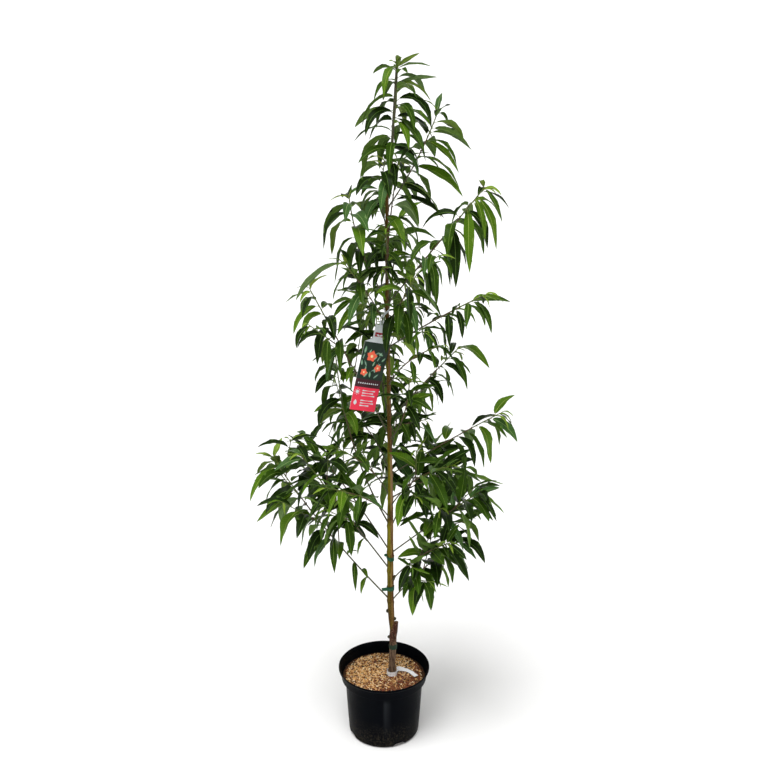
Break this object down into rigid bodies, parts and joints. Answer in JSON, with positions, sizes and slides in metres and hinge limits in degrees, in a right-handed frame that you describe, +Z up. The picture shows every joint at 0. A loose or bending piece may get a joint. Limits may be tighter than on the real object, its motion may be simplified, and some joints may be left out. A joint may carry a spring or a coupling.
{
  "type": "potted dwarf peach tree",
  "caption": "Young dwarf peach tree: one slim upright stem with leafy side shoots and long drooping leaves, in a round black nursery pot.",
  "frame": {"origin": "centre of the pot's flat underside, on the ground", "axes": "+Z up along the stem, front view looks along +Y, +X to the right of the front view"},
  "size_m": [0.6955, 0.537, 1.8061],
  "materials": {
    "pot_plastic": "satin black moulded plastic",
    "bark_mulch": "loose bark chips over potting soil",
    "stem_bark": "smooth young bark",
    "bough_bark": "smooth red-brown young bark",
    "foliage": "semi-gloss green leaves",
    "tie_film": "thin green tie",
    "graft_film": "dark green grafting tape",
    "label_card": "printed plastic label",
    "tag_film": "plain white plastic strip"
  },
  "bodies": {
    "root": {"base_tag": "tag_film", "bough_01": "bough_bark", "bough_05": "bough_bark", "bough_09": "bough_bark", "bough_16": "bough_bark", "bough_18": "bough_bark", "bough_20": "bough_bark", "bough_21": "bough_bark", "bough_22": "bough_bark", "bough_32": "bough_bark", "foliage_00": "foliage", "foliage_01": "foliage", "foliage_02": "foliage", "foliage_03": "foliage", "foliage_04": "foliage", "foliage_05": "foliage", "foliage_06": "foliage", "foliage_07": "foliage", "foliage_08": "foliage", "foliage_09": "foliage", "foliage_10": "foliage", "foliage_11": "foliage", "foliage_12": "foliage", "foliage_13": "foliage", "foliage_14": "foliage", "foliage_15": "foliage", "foliage_16": "foliage", "foliage_17": "foliage", "foliage_18": "foliage", "foliage_19": "foliage", "foliage_20": "foliage", "foliage_21": "foliage", "foliage_22": "foliage", "foliage_23": "foliage", "foliage_24": "foliage", "foliage_25": "foliage", "foliage_26": "foliage", "foliage_27": "foliage", "foliage_28": "foliage", "foliage_29": "foliage", "foliage_30": "foliage", "foliage_31": "foliage", "foliage_32": "foliage", "foliage_leader": "foliage", "graft_tape": "graft_film", "hang_label": "label_card", "pot": "pot_plastic", "soil": "bark_mulch", "tie_lower": "tie_film", "tie_upper": "tie_film", "trunk": "stem_bark"}
  },
  "joints": []
}
